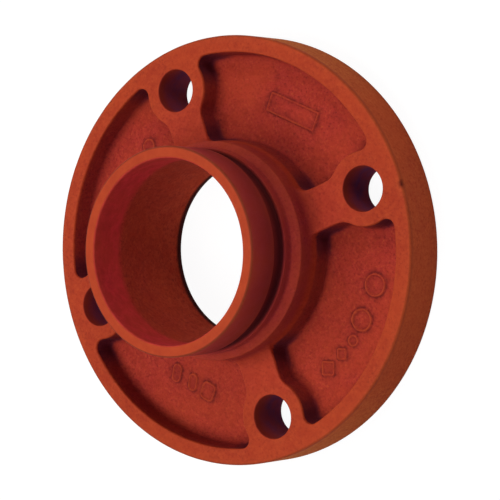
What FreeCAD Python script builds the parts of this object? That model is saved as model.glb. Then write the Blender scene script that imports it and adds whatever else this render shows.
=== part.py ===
"""Grooved flange adapter for a 3 inch pipe, one iron casting with machined faces.

The flange lies on the plane Z = 0 with its flat sealing face down, and the grooved pipe end stands up
along +Z. The origin is the centre of the bore on the sealing face, and the bolt holes straddle the X
and Y axes. A boss stands round each bolt hole, a rib joins it to the hub, and a drafted pocket lies
between each two ribs. All lengths are in millimetres and all angles in degrees.
"""

import FreeCAD, Part
import math
import os
import Sketcher

SIZES = {
    # Flange
    "flange_diameter": 190.5,
    "flange_thickness": 21.5,
    "flange_edge_draft": 2.0,
    "flange_front_round": 1.6,
    "rim_width": 8.0,
    # Bolt holes, the bosses round them and the ribs that join them to the hub
    "bolt_count": 4,
    "bolt_edge_distance": 19.05,
    "bolt_hole_diameter": 19.05,
    "boss_diameter": 31.6,
    "boss_blend_round": 8.0,
    "rib_width": 18.4,
    "rib_straight_least": 0.8,
    # Cast pockets between the ribs
    "pocket_depth": 11.3,
    "pocket_floor_round": 3.0,
    "pocket_corner_spare": 0.3,
    "casting_draft": 4.0,
    # Hub, and the neck that flares down to it
    "hub_diameter": 96.6,
    "hub_height": 31.3,
    "hub_foot_round": 4.5,
    "hub_edge_round": 1.2,
    "neck_flare_share": 0.4276,
    "neck_foot_round": 2.0,
    "neck_round_share": 0.6,
    # Grooved pipe end and the bore through it
    "overall_length": 62.4,
    "pipe_diameter": 88.9,
    "pipe_end_round": 1.3,
    "seat_length": 15.9,
    "groove_width": 7.95,
    "groove_diameter": 84.94,
    "groove_round": 0.7,
    "bore_diameter": 78.8,
    # Small breaks on machined edges, and how far a cutter runs past the metal
    "edge_break": 0.5,
    "cutter_overrun": 1.0,
}
# Sizes that follow from the ones above. The neck flares over a share of the way from hub to groove, and
# two roundings give way where the metal beside them is short.
RULES = {
    "flange_front_radius": "flange_diameter / 2 - flange_thickness * tan(flange_edge_draft)",
    "rim_radius": "flange_diameter / 2 - rim_width",
    "bolt_radius": "flange_diameter / 2 - bolt_edge_distance",
    "bolt_across": "bolt_radius * cos(180 / bolt_count)",
    "bolt_along": "bolt_radius * sin(180 / bolt_count)",
    "hub_radius": "hub_diameter / 2",
    "hub_edge_radius": "hub_radius - (hub_height - flange_thickness) * tan(casting_draft)",
    "floor_height": "flange_thickness - pocket_depth",
    "corner_radius": "pocket_floor_round + pocket_depth * tan(casting_draft) + pocket_corner_spare",
    "hub_corner_out": "sqrt((hub_radius + corner_radius) ^ 2 - (rib_width / 2 + corner_radius) ^ 2)",
    "blend_reach": "bolt_radius - hub_corner_out - rib_straight_least",
    "blend_most": "(blend_reach ^ 2 - (boss_diameter ^ 2 - rib_width ^ 2) / 4) / (boss_diameter - rib_width)",
    "blend_radius": "min(boss_blend_round; blend_most)",
    "groove_top": "overall_length - seat_length",
    "groove_foot": "groove_top - groove_width",
    "neck_foot": "hub_height + (groove_foot - hub_height) * neck_flare_share",
    "neck_radius": "min(neck_foot_round; (groove_foot - neck_foot) * neck_round_share)",
}
SAME = 0.01  # lengths closer than this are taken as equal

# The spreadsheet that drives every sketch and feature
document = FreeCAD.newDocument("grooved_flange_adapter")
sheet = document.addObject("Spreadsheet::Sheet", "sizes")
cells = {alias: str(value) for alias, value in SIZES.items()}
cells.update({alias: f"={rule}" for alias, rule in RULES.items()})
for row, alias in enumerate(cells, start=1):
    sheet.set(f"A{row}", alias)
    sheet.setAlias(f"B{row}", alias)
for row, content in enumerate(cells.values(), start=1):
    sheet.set(f"B{row}", content)
document.recompute()
size = {alias: float(sheet.get(alias)) for alias in cells}

body = document.addObject("PartDesign::Body", "flange_adapter")
body.Label = "flange_adapter"


def origin_feature(role):
    """One of the body's own planes or axes."""
    return next(feature for feature in body.Origin.OriginFeatures if feature.Role == role)


def new_sketch(name, plane, height=None):
    """An empty sketch on one of the body's origin planes, raised by an expression if one is given."""
    sketch = body.newObject("Sketcher::SketchObject", name)
    sketch.AttachmentSupport = [(origin_feature(plane), "")]
    sketch.MapMode = "FlatFace"
    if height:
        sketch.setExpression("AttachmentOffset.Base.z", height)
    return sketch


def bind(sketch, name, constraint, expression):
    """Add one named dimension to a sketch and drive it from the spreadsheet."""
    index = sketch.addConstraint(constraint)
    sketch.renameConstraint(index, name)
    sketch.setExpression(f"Constraints.{name}", expression)


def place(sketch, name, item, end, across=None, along=None):
    """Drive a point of a sketch by its two distances from the origin. None puts it on that axis."""
    point = sketch.getPoint(item, end)
    if across is None:
        sketch.addConstraint(Sketcher.Constraint("PointOnObject", item, end, -2))
    else:
        bind(sketch, f"{name}_across", Sketcher.Constraint("DistanceX", -1, 1, item, end, point.x), across)
    if along is None:
        sketch.addConstraint(Sketcher.Constraint("PointOnObject", item, end, -1))
    else:
        bind(sketch, f"{name}_along", Sketcher.Constraint("DistanceY", -1, 1, item, end, point.y), along)


def draw_circle(sketch, centre, diameter):
    """Add a circle whose diameter is one of the spreadsheet's sizes."""
    circle = Part.Circle(FreeCAD.Vector(*centre, 0), FreeCAD.Vector(0, 0, 1), size[diameter] / 2)
    item = sketch.addGeometry(circle, False)
    bind(sketch, "radius", Sketcher.Constraint("Radius", item, circle.Radius), f"sizes.{diameter} / 2")


def closed_section(name, corners):
    """A closed section of straight lines in the XZ plane, each corner driven by (name, radius, height)."""
    sketch = new_sketch(name, "XZ_Plane")
    count = len(corners)
    middle = size["pipe_diameter"]
    spread = size["pipe_diameter"] / 2
    points = []
    for number in range(count):
        turn = 2 * math.pi * number / count
        points.append(FreeCAD.Vector(middle + spread * math.cos(turn), middle + spread * math.sin(turn), 0))
    for number in range(count):
        sketch.addGeometry(Part.LineSegment(points[number], points[(number + 1) % count]), False)
    for number in range(count):
        sketch.addConstraint(Sketcher.Constraint("Coincident", number, 2, (number + 1) % count, 1))
    for number, (corner, radius, height) in enumerate(corners):
        place(sketch, corner, number, 1, radius, height)
    return sketch


def turned(kind, name, section):
    """Turn a section a full circle about the Z axis, as a Revolution or a Groove."""
    feature = body.newObject(f"PartDesign::{kind}", name)
    feature.Profile = section
    feature.ReferenceAxis = (origin_feature("Z_Axis"), [""])
    feature.Angle = 360
    document.recompute()
    return feature


def ring_of(name, feature):
    """Repeat a feature once for each bolt, round the Z axis."""
    pattern = body.newObject("PartDesign::PolarPattern", name)
    pattern.Originals = [feature]
    pattern.Axis = (origin_feature("Z_Axis"), [""])
    pattern.Angle = 360
    pattern.setExpression("Occurrences", "sizes.bolt_count")
    body.Tip = pattern
    document.recompute()
    return pattern


def rounded(name, radius, wanted):
    """Round every edge of the body so far that the test picks out."""
    base = body.Tip
    names = [f"Edge{number}" for number, edge in enumerate(base.Shape.Edges, start=1) if wanted(edge)]
    if not names:
        raise RuntimeError(f"{name} finds no edge")
    fillet = body.newObject("PartDesign::Fillet", name)
    fillet.Base = (base, names)
    fillet.setExpression("Radius", radius)
    body.Tip = fillet
    document.recompute()
    return fillet


def is_level(edge, height):
    """Whether an edge lies flat at a height."""
    box = edge.BoundBox
    return abs(box.ZMin - height) < SAME and abs(box.ZMax - height) < SAME


def is_turned(edge, radius, height):
    """Whether an edge is a circle or an arc about the Z axis at a radius and height."""
    if not isinstance(edge.Curve, Part.Circle):
        return False
    centre = edge.Curve.Center
    on_axis = math.hypot(centre.x, centre.y) < SAME
    return on_axis and abs(centre.z - height) < SAME and abs(edge.Curve.Radius - radius) < SAME


# Raw form of the casting: flange, hub, flared neck and pipe end, turned as one
casting_section = closed_section("casting_section", [
    ("centre", None, None),
    ("flange_back", "sizes.flange_diameter / 2", None),
    ("flange_front", "sizes.flange_front_radius", "sizes.flange_thickness"),
    ("hub_foot", "sizes.hub_radius", "sizes.flange_thickness"),
    ("hub_edge", "sizes.hub_edge_radius", "sizes.hub_height"),
    ("neck_foot", "sizes.pipe_diameter / 2", "sizes.neck_foot"),
    ("pipe_end", "sizes.pipe_diameter / 2", "sizes.overall_length"),
    ("end_centre", None, "sizes.overall_length"),
])
turned("Revolution", "casting_form", casting_section)
rounded("hub_foot", "sizes.hub_foot_round",
        lambda edge: is_turned(edge, size["hub_radius"], size["flange_thickness"]))


def toward(start, goal, distance):
    """The point at a distance from one point along the way to another."""
    share = distance / math.dist(start, goal)
    return (start[0] + (goal[0] - start[0]) * share, start[1] + (goal[1] - start[1]) * share)


def draw_arc(sketch, centre, radius, first, last):
    """Add the shorter arc between two points about a centre."""
    start = math.atan2(first[1] - centre[1], first[0] - centre[0])
    sweep = (math.atan2(last[1] - centre[1], last[0] - centre[0]) - start) % (2 * math.pi)
    if sweep > math.pi:
        start, sweep = start + sweep, 2 * math.pi - sweep
    circle = Part.Circle(FreeCAD.Vector(*centre, 0), FreeCAD.Vector(0, 0, 1), radius)
    return sketch.addGeometry(Part.ArcOfCircle(circle, start, start + sweep), False)


def joined_end(sketch, item, joint):
    """Which end of an item, 1 or 2, lies at a joint."""
    reach = [sketch.getPoint(item, end).distanceToPoint(FreeCAD.Vector(*joint, 0)) for end in (1, 2)]
    return 1 if reach[0] < reach[1] else 2


def draw_pocket():
    """The outline of one pocket on the front face, centred on +X between two bolt holes.

    Its arcs and lines meet tangent at joints, first worked out as (along the rib, sideways from its middle).
    """
    sketch = new_sketch("pocket_outline", "XY_Plane", "sizes.flange_thickness")
    rim, hub, bolt_out = size["rim_radius"], size["hub_radius"], size["bolt_radius"]
    boss, side = size["boss_diameter"] / 2, size["rib_width"] / 2
    corner, blend = size["corner_radius"], size["blend_radius"]
    rim_corner_out = ((rim - corner) ** 2 - (boss + corner) ** 2 + bolt_out ** 2) / (2 * bolt_out)
    rim_corner = (rim_corner_out, math.sqrt((rim - corner) ** 2 - rim_corner_out ** 2))
    blend_centre = (bolt_out - math.sqrt((boss + blend) ** 2 - (side + blend) ** 2), side + blend)
    hub_corner = (size["hub_corner_out"], side + corner)
    turn = math.pi / size["bolt_count"]

    def spot(point, sign):
        """A point given along and beside the rib, on the upper (1) or lower (-1) side of the pocket."""
        out, beside = point
        return (out * math.cos(turn) + beside * math.sin(turn),
                sign * (out * math.sin(turn) - beside * math.cos(turn)))

    middle, bolt = (0, 0), (bolt_out, 0)
    joints = [
        toward(middle, rim_corner, rim),
        toward(bolt, rim_corner, boss),
        toward(bolt, blend_centre, boss),
        (blend_centre[0], side),
        (hub_corner[0], side),
        toward(middle, hub_corner, hub),
    ]
    rim_arc = draw_arc(sketch, middle, rim, spot(joints[0], -1), spot(joints[0], 1))
    hub_arc = draw_arc(sketch, middle, hub, spot(joints[5], -1), spot(joints[5], 1))
    chains = []
    for sign in (1, -1):
        place_of = [spot(joint, sign) for joint in joints]
        rib_line = Part.LineSegment(FreeCAD.Vector(*place_of[3], 0), FreeCAD.Vector(*place_of[4], 0))
        chains.append([
            rim_arc,
            draw_arc(sketch, spot(rim_corner, sign), corner, place_of[0], place_of[1]),
            draw_arc(sketch, spot(bolt, sign), boss, place_of[1], place_of[2]),
            draw_arc(sketch, spot(blend_centre, sign), blend, place_of[2], place_of[3]),
            sketch.addGeometry(rib_line, False),
            draw_arc(sketch, spot(hub_corner, sign), corner, place_of[4], place_of[5]),
            hub_arc,
        ])
        for number, joint in enumerate(place_of):
            before, after = chains[-1][number], chains[-1][number + 1]
            sketch.addConstraint(Sketcher.Constraint("Tangent", before, joined_end(sketch, before, joint),
                                                     after, joined_end(sketch, after, joint)))
    for item in (rim_arc, hub_arc):
        sketch.addConstraint(Sketcher.Constraint("Coincident", item, 3, -1, 1))
    upper, lower = chains
    place(sketch, "bolt", upper[2], 3, "sizes.bolt_across", "sizes.bolt_along")
    sketch.addConstraint(Sketcher.Constraint("Symmetric", upper[2], 3, lower[2], 3, -1))
    for chain, side_name in ((upper, "upper"), (lower, "lower")):
        rib_middle = Part.LineSegment(FreeCAD.Vector(0, 0, 0), sketch.getPoint(chain[2], 3))
        centre_line = sketch.addGeometry(rib_middle, True)
        sketch.addConstraint(Sketcher.Constraint("Coincident", centre_line, 1, -1, 1))
        sketch.addConstraint(Sketcher.Constraint("Coincident", centre_line, 2, chain[2], 3))
        sketch.addConstraint(Sketcher.Constraint("Parallel", chain[4], centre_line))
        bind(sketch, f"{side_name}_rib_side", Sketcher.Constraint("Distance", chain[4], 1, centre_line, side),
             "sizes.rib_width / 2")
    for above, below in zip(upper[1:6], lower[1:6]):
        if above != upper[4]:
            sketch.addConstraint(Sketcher.Constraint("Equal", above, below))
    for item, name, rule in (
        (rim_arc, "rim", "sizes.rim_radius"),
        (hub_arc, "hub", "sizes.hub_radius"),
        (upper[1], "rim_corner", "sizes.corner_radius"),
        (upper[2], "boss", "sizes.boss_diameter / 2"),
        (upper[3], "blend", "sizes.blend_radius"),
        (upper[5], "hub_corner", "sizes.corner_radius"),
    ):
        radius = sketch.Geometry[item].Radius
        bind(sketch, f"{name}_radius", Sketcher.Constraint("Radius", item, radius), rule)
    return sketch


# Four pockets, narrowing downwards and cut clear of the hub's foot above the face
pocket = body.newObject("PartDesign::Pocket", "pocket")
pocket.Profile = draw_pocket()
pocket.SideType = "Two sides"
pocket.setExpression("Length", "sizes.pocket_depth")
pocket.setExpression("TaperAngle", "-sizes.casting_draft")
pocket.setExpression("Length2", "sizes.hub_foot_round * (1 - sin(sizes.casting_draft))")
pocket.setExpression("TaperAngle2", "sizes.casting_draft")
document.recompute()
ring_of("pockets", pocket)
rounded("pocket_floors", "sizes.pocket_floor_round", lambda edge: is_level(edge, size["floor_height"]))

# Grooved pipe end
groove_section = closed_section("groove_section", [
    ("groove_foot_in", "sizes.groove_diameter / 2", "sizes.groove_foot"),
    ("groove_foot_out", "sizes.pipe_diameter / 2 + sizes.cutter_overrun", "sizes.groove_foot"),
    ("groove_top_out", "sizes.pipe_diameter / 2 + sizes.cutter_overrun", "sizes.groove_top"),
    ("groove_top_in", "sizes.groove_diameter / 2", "sizes.groove_top"),
])
turned("Groove", "coupling_groove", groove_section)

# Bore, right through from the sealing face
bore_circle = new_sketch("bore_circle", "XY_Plane")
draw_circle(bore_circle, (0, 0), "bore_diameter")
bore_circle.addConstraint(Sketcher.Constraint("Coincident", 0, 3, -1, 1))
bore = body.newObject("PartDesign::Pocket", "bore")
bore.Profile = bore_circle
bore.Type = "ThroughAll"
bore.Reversed = True
document.recompute()

# Bolt holes, drilled from the front face and right through
bolt_place = new_sketch("bolt_place", "XY_Plane", "sizes.flange_thickness")
draw_circle(bolt_place, (size["bolt_across"], size["bolt_along"]), "bolt_hole_diameter")
place(bolt_place, "bolt", 0, 3, "sizes.bolt_across", "sizes.bolt_along")
document.recompute()
bolt_hole = body.newObject("PartDesign::Hole", "bolt_hole")
bolt_hole.Profile = bolt_place
bolt_hole.DepthType = "ThroughAll"
bolt_hole.setExpression("Diameter", "sizes.bolt_hole_diameter")
document.recompute()
ring_of("bolt_holes", bolt_hole)


def is_hole_mouth(edge):
    """Whether an edge is the mouth of a bolt hole."""
    hole_radius = size["bolt_hole_diameter"] / 2
    return isinstance(edge.Curve, Part.Circle) and abs(edge.Curve.Radius - hole_radius) < SAME


def is_groove_bottom(edge):
    """Whether an edge is one of the two inner corners of the groove."""
    groove_radius = size["groove_diameter"] / 2
    return any(is_turned(edge, groove_radius, size[height]) for height in ("groove_foot", "groove_top"))


def is_machined_mouth(edge):
    """Whether an edge is a mouth of the bore or a bolt hole, or the rim of the sealing face."""
    bore_radius = size["bore_diameter"] / 2
    is_bore_mouth = is_turned(edge, bore_radius, 0) or is_turned(edge, bore_radius, size["overall_length"])
    return is_bore_mouth or is_hole_mouth(edge) or is_turned(edge, size["flange_diameter"] / 2, 0)


# Rounded edges, from the cast ones to the light breaks on the machined ones
rounded("flange_front", "sizes.flange_front_round",
        lambda edge: is_turned(edge, size["flange_front_radius"], size["flange_thickness"]))
rounded("hub_edge", "sizes.hub_edge_round",
        lambda edge: is_turned(edge, size["hub_edge_radius"], size["hub_height"]))
rounded("neck_foot", "sizes.neck_radius",
        lambda edge: is_turned(edge, size["pipe_diameter"] / 2, size["neck_foot"]))
rounded("groove_bottoms", "sizes.groove_round", is_groove_bottom)
rounded("pipe_end", "sizes.pipe_end_round",
        lambda edge: is_turned(edge, size["pipe_diameter"] / 2, size["overall_length"]))
rounded("machined_edges", "sizes.edge_break", is_machined_mouth)
document.recompute()

# Nothing may have failed, every cut must have taken metal away, and the casting must be one sound solid
failed = [item.Name for item in document.Objects if "Invalid" in item.State or "Error" in item.State]
if failed:
    raise RuntimeError(f"these objects failed: {failed}")
for cut in (document.getObject("pockets"), document.getObject("coupling_groove"), bore,
            document.getObject("bolt_holes")):
    if cut.Shape.Volume >= cut.BaseFeature.Shape.Volume - SAME:
        raise RuntimeError(f"{cut.Name} cuts nothing")
if body.Shape.isNull() or not body.Shape.isValid() or len(body.Shape.Solids) != 1:
    raise RuntimeError("the casting isn't one valid solid")

os.makedirs("parts", exist_ok=True)
body.Shape.exportStep(f"parts/{body.Label}.step")
print(f"{body.Label}: {body.Shape.Volume:.0f} cubic mm, {len(body.Shape.Faces)} faces")
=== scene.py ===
"""Looks of the grooved flange adapter: a painted iron casting with machined faces, on white.

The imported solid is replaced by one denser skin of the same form. It adds what a casting has and the solid
leaves out: soft pocket edges, uneven faces, grain, plain raised marks in the pockets and worn paint.
"""
import math
from collections import namedtuple

import bmesh
import bpy
import numpy as np
from mathutils import Matrix, Vector, geometry, noise


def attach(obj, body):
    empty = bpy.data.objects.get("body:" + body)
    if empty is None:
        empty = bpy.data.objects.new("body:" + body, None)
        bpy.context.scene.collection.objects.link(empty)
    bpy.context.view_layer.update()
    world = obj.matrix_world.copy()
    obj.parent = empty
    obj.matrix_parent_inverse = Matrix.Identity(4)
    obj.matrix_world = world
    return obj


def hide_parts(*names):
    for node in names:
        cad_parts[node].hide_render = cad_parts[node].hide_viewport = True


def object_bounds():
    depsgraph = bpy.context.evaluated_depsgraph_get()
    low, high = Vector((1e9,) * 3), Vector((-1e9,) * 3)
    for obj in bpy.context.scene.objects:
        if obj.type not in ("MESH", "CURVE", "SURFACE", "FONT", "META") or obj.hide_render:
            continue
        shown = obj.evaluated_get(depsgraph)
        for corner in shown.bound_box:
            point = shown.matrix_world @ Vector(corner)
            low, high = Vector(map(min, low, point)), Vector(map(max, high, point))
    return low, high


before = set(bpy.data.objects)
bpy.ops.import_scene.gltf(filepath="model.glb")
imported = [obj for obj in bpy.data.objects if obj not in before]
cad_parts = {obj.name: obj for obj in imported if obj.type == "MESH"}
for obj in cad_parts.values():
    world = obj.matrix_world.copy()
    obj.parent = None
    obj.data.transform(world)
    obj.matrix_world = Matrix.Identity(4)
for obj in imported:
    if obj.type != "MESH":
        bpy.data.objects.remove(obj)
cad_low, cad_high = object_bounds()
scene = bpy.context.scene

MM = 0.001
FULL_TURN = 2 * math.pi

# Sizes of the casting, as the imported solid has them
FLANGE_RADIUS = min(cad_high.x, -cad_low.x, cad_high.y, -cad_low.y)
LENGTH = cad_high.z
FACE = 21.5 * MM
FLANGE_DRAFT = math.radians(2.0)
RIM_WIDTH = 8.0 * MM
RIM_RADIUS = FLANGE_RADIUS - RIM_WIDTH
BOLT_COUNT = 4
BOLT_RADIUS = FLANGE_RADIUS * 0.8
HOLE_RADIUS = 9.525 * MM
BOSS_RADIUS = 15.8 * MM
BLEND_RADIUS = 8.0 * MM
RIB_HALF = 9.2 * MM
POCKET_FLOOR = 10.2 * MM
FLOOR_ROUND = 3.0 * MM
DRAFT = math.radians(4.0)
SLOPE = math.tan(DRAFT)
CORNER_SPARE = 0.3 * MM
CORNER_RADIUS = FLOOR_ROUND + (FACE - POCKET_FLOOR) * SLOPE + CORNER_SPARE
HUB_RADIUS = 48.3 * MM
HUB_TOP = 31.3 * MM
HUB_FOOT_ROUND = 4.5 * MM
HUB_EDGE_ROUND = 1.2 * MM
NECK_FOOT = 34.4 * MM
NECK_ROUND = 2.0 * MM
PIPE_RADIUS = 44.45 * MM
GROOVE_RADIUS = 42.47 * MM
GROOVE_TOP = LENGTH - 15.9 * MM
GROOVE_FOOT = GROOVE_TOP - 7.95 * MM
GROOVE_ROUND = 0.7 * MM
BORE_RADIUS = 39.4 * MM
EDGE_BREAK = 0.5 * MM

# Edges a little sharper or softer than the solid's, all but the bolt holes' as the photograph shows them
FRONT_ROUND = 1.0 * MM
PIPE_ROUND = 0.9 * MM
MOUTH_ROUND = 1.0 * MM
GROOVE_BREAK = 0.12 * MM
HOLE_ROUND = 0.9 * EDGE_BREAK

# Depth to which the bore is turned, the blur there, and the heights between which its far end darkens with
# painted shade
BORE_TURNED = 17.0 * MM
TURNED_BLUR = 0.3 * MM
BORE_DARK = 4.4 * MM
BORE_DARKEST = 2.6 * MM

# How closely the skin is sampled
OUTLINE_STEP = 0.85 * MM
CORNER_STEP = 0.5 * MM
FACE_STEP = 1.15 * MM
BACK_STEP = 3.2 * MM
SIDE_STEP = 1.6 * MM
NECK_STEP = 1.3 * MM
BORE_STEP = 2.6 * MM
HOLE_STEP = 2.2 * MM
ROUND_STEP = math.radians(22.5)
ROUND_LEAST = 3
ROUND_SPARE = 0.01
RIM_STEPS = 480
HOLE_STEPS = 72
WALL_ROWS = 7
FILLET_ROWS = 8

# How far free points keep from a border or from finer points, as a share of a step or as a distance
BORDER_GAP = 0.45
MARK_GAP = 0.4
ROW_GAP = 0.24 * MM
BACK_GAP = 1.2 * MM

# Points closer than this are one point, and triangles flatter than this, for their length, are dropped
WELD = 0.004 * MM
SLIVER = 0.0001

# Points closer than this, in millimetres, are one point to the triangulation
SAME_SPOT = 1e-6

# Rows of points beside a pocket's edge, how soft the edge is at each, and how far its softness reaches
EDGE_ROWS = np.array([0, 0.3, 0.6, 0.9, 1.25]) * MM
EDGE_SOFTNESS = np.array([1, 1, 0.8, 0.5, 0.2])
SOFT_END = 1.495 * MM
SOFT_FULL = 0.195 * MM
SOFT_ROUNDS = 12
SOFT_SHARE = 0.5

# The cast faces' unevenness as (size, height), and how much of it the faces and the pockets show
LUMPS = [(9 * MM, 0.11 * MM), (3.6 * MM, 0.06 * MM)]
FACE_UNEVEN = 0.6
POCKET_UNEVEN = 0.7

# A knock on the front edge of the flange
KNOCK_PLACE = np.array([69.7, 63.3, 21.0]) * MM
KNOCK_REACH = 2.0 * MM
KNOCK_DEPTH = 0.9 * MM

Mark = namedtuple("Mark", "turn distance tilt half_along half_across corner width height")


def raised_mark(turn, distance, tilt, *sizes):
    """A raised mark from degrees and millimetres.

    turn and distance give the place of its middle, and tilt turns it from the way round the axis. The sizes
    are its half length, half width, corner rounding, line width and height.
    """
    return Mark(math.radians(turn), distance * MM, math.radians(tilt), *(size * MM for size in sizes))


# Raised marks on the pocket floors: plain rings and bare frames with rounded corners
MARKS = [
    raised_mark(13.7, 72.5, 0, 5.15, 5.15, 5.15, 1.1, 0.8),
    raised_mark(0.7, 70.8, 0, 5.1, 5.1, 5.1, 1.1, 0.8),
    raised_mark(-7.3, 71.2, 0, 2.6, 2.6, 2.6, 0.9, 0.7),
    raised_mark(-13.9, 70.0, -50, 2.3, 2.6, 1.0, 0.9, 0.6),
    raised_mark(-21.6, 69.4, -43, 3.2, 3.2, 0.9, 0.9, 0.7),
    raised_mark(88.9, 67.3, 3, 13.4, 4.5, 1.0, 0.9, 0.7),
    raised_mark(-96.2, 66.0, 18, 2.6, 4.4, 2.4, 0.9, 0.7),
    raised_mark(-87.6, 65.3, 14, 2.5, 4.1, 2.4, 0.9, 0.7),
    raised_mark(-79.5, 66.1, -8, 3.8, 4.2, 2.2, 0.9, 0.7),
    raised_mark(161.3, 69.3, 0, 3.6, 3.4, 3.4, 1.0, 0.7),
]
MARK_STEP = 0.38 * MM
MARK_BORDER = 2 * MM

# Shares of a mark's line width: its flat top, its flank, the place of its feet and the spread of the
# painted shade at each
MARK_TOP = 0.15
MARK_FLANK = 0.4
FOOT_PLACE = 0.72
OUTER_SPREAD = 0.3
INNER_SPREAD = 0.26
INNER_STRENGTH = 0.5


def ramp(values, start, end):
    """0 up to one value, 1 from another on, and straight between them. start may be the larger one."""
    return np.clip((values - start) / (end - start), 0, 1)


def smooth(share):
    """A share from 0 to 1 with its two ends eased."""
    return share * share * (3 - 2 * share)


def direction_of(angle):
    """The unit vector in plan in a direction."""
    return np.array([math.cos(angle), math.sin(angle)])


# Sections and outlines
def rounded_profile(corners, step):
    """Points along a line of (radius, height, rounding) corners, with each rounding as an arc."""
    points = [np.array(corners[0][:2])]
    for before, here, after in zip(corners, corners[1:], corners[2:]):
        spot, rounding = np.array(here[:2]), here[2]
        into = np.array(before[:2]) - spot
        out = np.array(after[:2]) - spot
        into, out = into / np.linalg.norm(into), out / np.linalg.norm(out)
        half = math.acos(np.clip(into @ out, -1, 1)) / 2
        if rounding == 0:
            points.append(spot)
            continue
        reach = rounding / math.tan(half)
        middle = spot + (into + out) / np.linalg.norm(into + out) * rounding / math.sin(half)
        first, last = spot + into * reach - middle, spot + out * reach - middle
        turn = math.acos(np.clip(first @ last / rounding ** 2, -1, 1))
        count = max(ROUND_LEAST, math.ceil(turn / ROUND_STEP - ROUND_SPARE))
        for share in np.linspace(0, 1, count + 1):
            between = math.sin((1 - share) * turn) * first + math.sin(share * turn) * last
            points.append(middle + between / math.sin(turn))
    points.append(np.array(corners[-1][:2]))
    dense = [points[0]]
    for start, end in zip(points, points[1:]):
        count = max(1, math.ceil(np.linalg.norm(end - start) / step))
        dense += [start + (end - start) * number / count for number in range(1, count + 1)]
    return np.array(dense)


def arc(centre, radius, start, end, inward, step):
    """Points and unit normals along the shorter arc between two points, the last one left out."""
    centre, start, end = np.array(centre), np.array(start), np.array(end)
    first = math.atan2(*(start - centre)[::-1])
    sweep = (math.atan2(*(end - centre)[::-1]) - first + math.pi) % FULL_TURN - math.pi
    count = max(2, math.ceil(abs(sweep) * radius / step))
    angles = first + sweep * np.arange(count) / count
    normals = np.stack([np.cos(angles), np.sin(angles)], 1)
    return centre + radius * normals, normals * inward


# Middles of a pocket's rounded corners at the rim and at the hub, as (out along the rib, beside it)
CORNER_REACH = RIM_RADIUS - CORNER_RADIUS
BOSS_REACH = BOSS_RADIUS + CORNER_RADIUS
RIM_CORNER_OUT = (CORNER_REACH ** 2 - BOSS_REACH ** 2 + BOLT_RADIUS ** 2) / (2 * BOLT_RADIUS)
RIM_CORNER = np.array([RIM_CORNER_OUT, math.sqrt(CORNER_REACH ** 2 - RIM_CORNER_OUT ** 2)])
HUB_CORNER_BESIDE = RIB_HALF + CORNER_RADIUS
HUB_CORNER_OUT = math.sqrt((HUB_RADIUS + CORNER_RADIUS) ** 2 - HUB_CORNER_BESIDE ** 2)
HUB_CORNER = np.array([HUB_CORNER_OUT, HUB_CORNER_BESIDE])


def pocket_half():
    """Half of a pocket's outline on the face, from the middle of its rim side to that of its hub side.

    Points are (out along the rib, beside it), and normals point into the pocket. The third array marks the
    hub side.
    """
    blend_beside = RIB_HALF + BLEND_RADIUS
    blend_out = BOLT_RADIUS - math.sqrt((BOSS_RADIUS + BLEND_RADIUS) ** 2 - blend_beside ** 2)
    blend_middle = np.array([blend_out, blend_beside])
    middle, bolt = np.zeros(2), np.array([BOLT_RADIUS, 0])
    diagonal = direction_of(math.pi / BOLT_COUNT)

    def toward(start, goal, distance):
        return start + (goal - start) * distance / np.linalg.norm(goal - start)

    rim_end = toward(middle, RIM_CORNER, RIM_RADIUS)
    boss_start = toward(bolt, RIM_CORNER, BOSS_RADIUS)
    boss_end = toward(bolt, blend_middle, BOSS_RADIUS)
    rib_start = np.array([blend_out, RIB_HALF])
    rib_end = np.array([HUB_CORNER_OUT, RIB_HALF])
    hub_start = toward(middle, HUB_CORNER, HUB_RADIUS)
    rib_steps = max(2, math.ceil(np.linalg.norm(rib_end - rib_start) / OUTLINE_STEP))
    rib_shares = np.arange(rib_steps)[:, None] / rib_steps
    parts = [
        arc(middle, RIM_RADIUS, diagonal * RIM_RADIUS, rim_end, -1, OUTLINE_STEP),
        arc(RIM_CORNER, CORNER_RADIUS, rim_end, boss_start, -1, CORNER_STEP),
        arc(bolt, BOSS_RADIUS, boss_start, boss_end, 1, OUTLINE_STEP),
        arc(blend_middle, BLEND_RADIUS, boss_end, rib_start, -1, OUTLINE_STEP),
        (rib_start + (rib_end - rib_start) * rib_shares, np.tile([0.0, 1.0], (rib_steps, 1))),
        arc(HUB_CORNER, CORNER_RADIUS, rib_end, hub_start, -1, CORNER_STEP),
        arc(middle, HUB_RADIUS, hub_start, diagonal * HUB_RADIUS, 1, OUTLINE_STEP),
    ]
    points = np.concatenate([part[0] for part in parts] + [[diagonal * HUB_RADIUS]])
    normals = np.concatenate([part[1] for part in parts] + [[diagonal]])
    on_hub = np.arange(len(points)) >= len(points) - 1 - len(parts[-1][0])
    return points, normals, on_hub


def pocket_outline(direction):
    """A pocket's closed outline, its inward normals and which points lie on the hub, in a direction."""
    points, normals, on_hub = pocket_half()
    out = direction_of(math.pi / BOLT_COUNT)
    to_plan = np.array([[out[0], out[1]], [out[1], -out[0]]])
    upper, upper_normals = points @ to_plan.T, normals @ to_plan.T
    mirror = np.array([1, -1])
    lower, lower_normals = (upper * mirror)[-2:0:-1], (upper_normals * mirror)[-2:0:-1]
    out = direction_of(direction)
    spin = np.array([[out[0], out[1]], [-out[1], out[0]]])
    loop = np.concatenate([upper, lower]) @ spin
    inward = np.concatenate([upper_normals, lower_normals]) @ spin
    return loop, inward, np.concatenate([on_hub, on_hub[-2:0:-1]])


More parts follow.
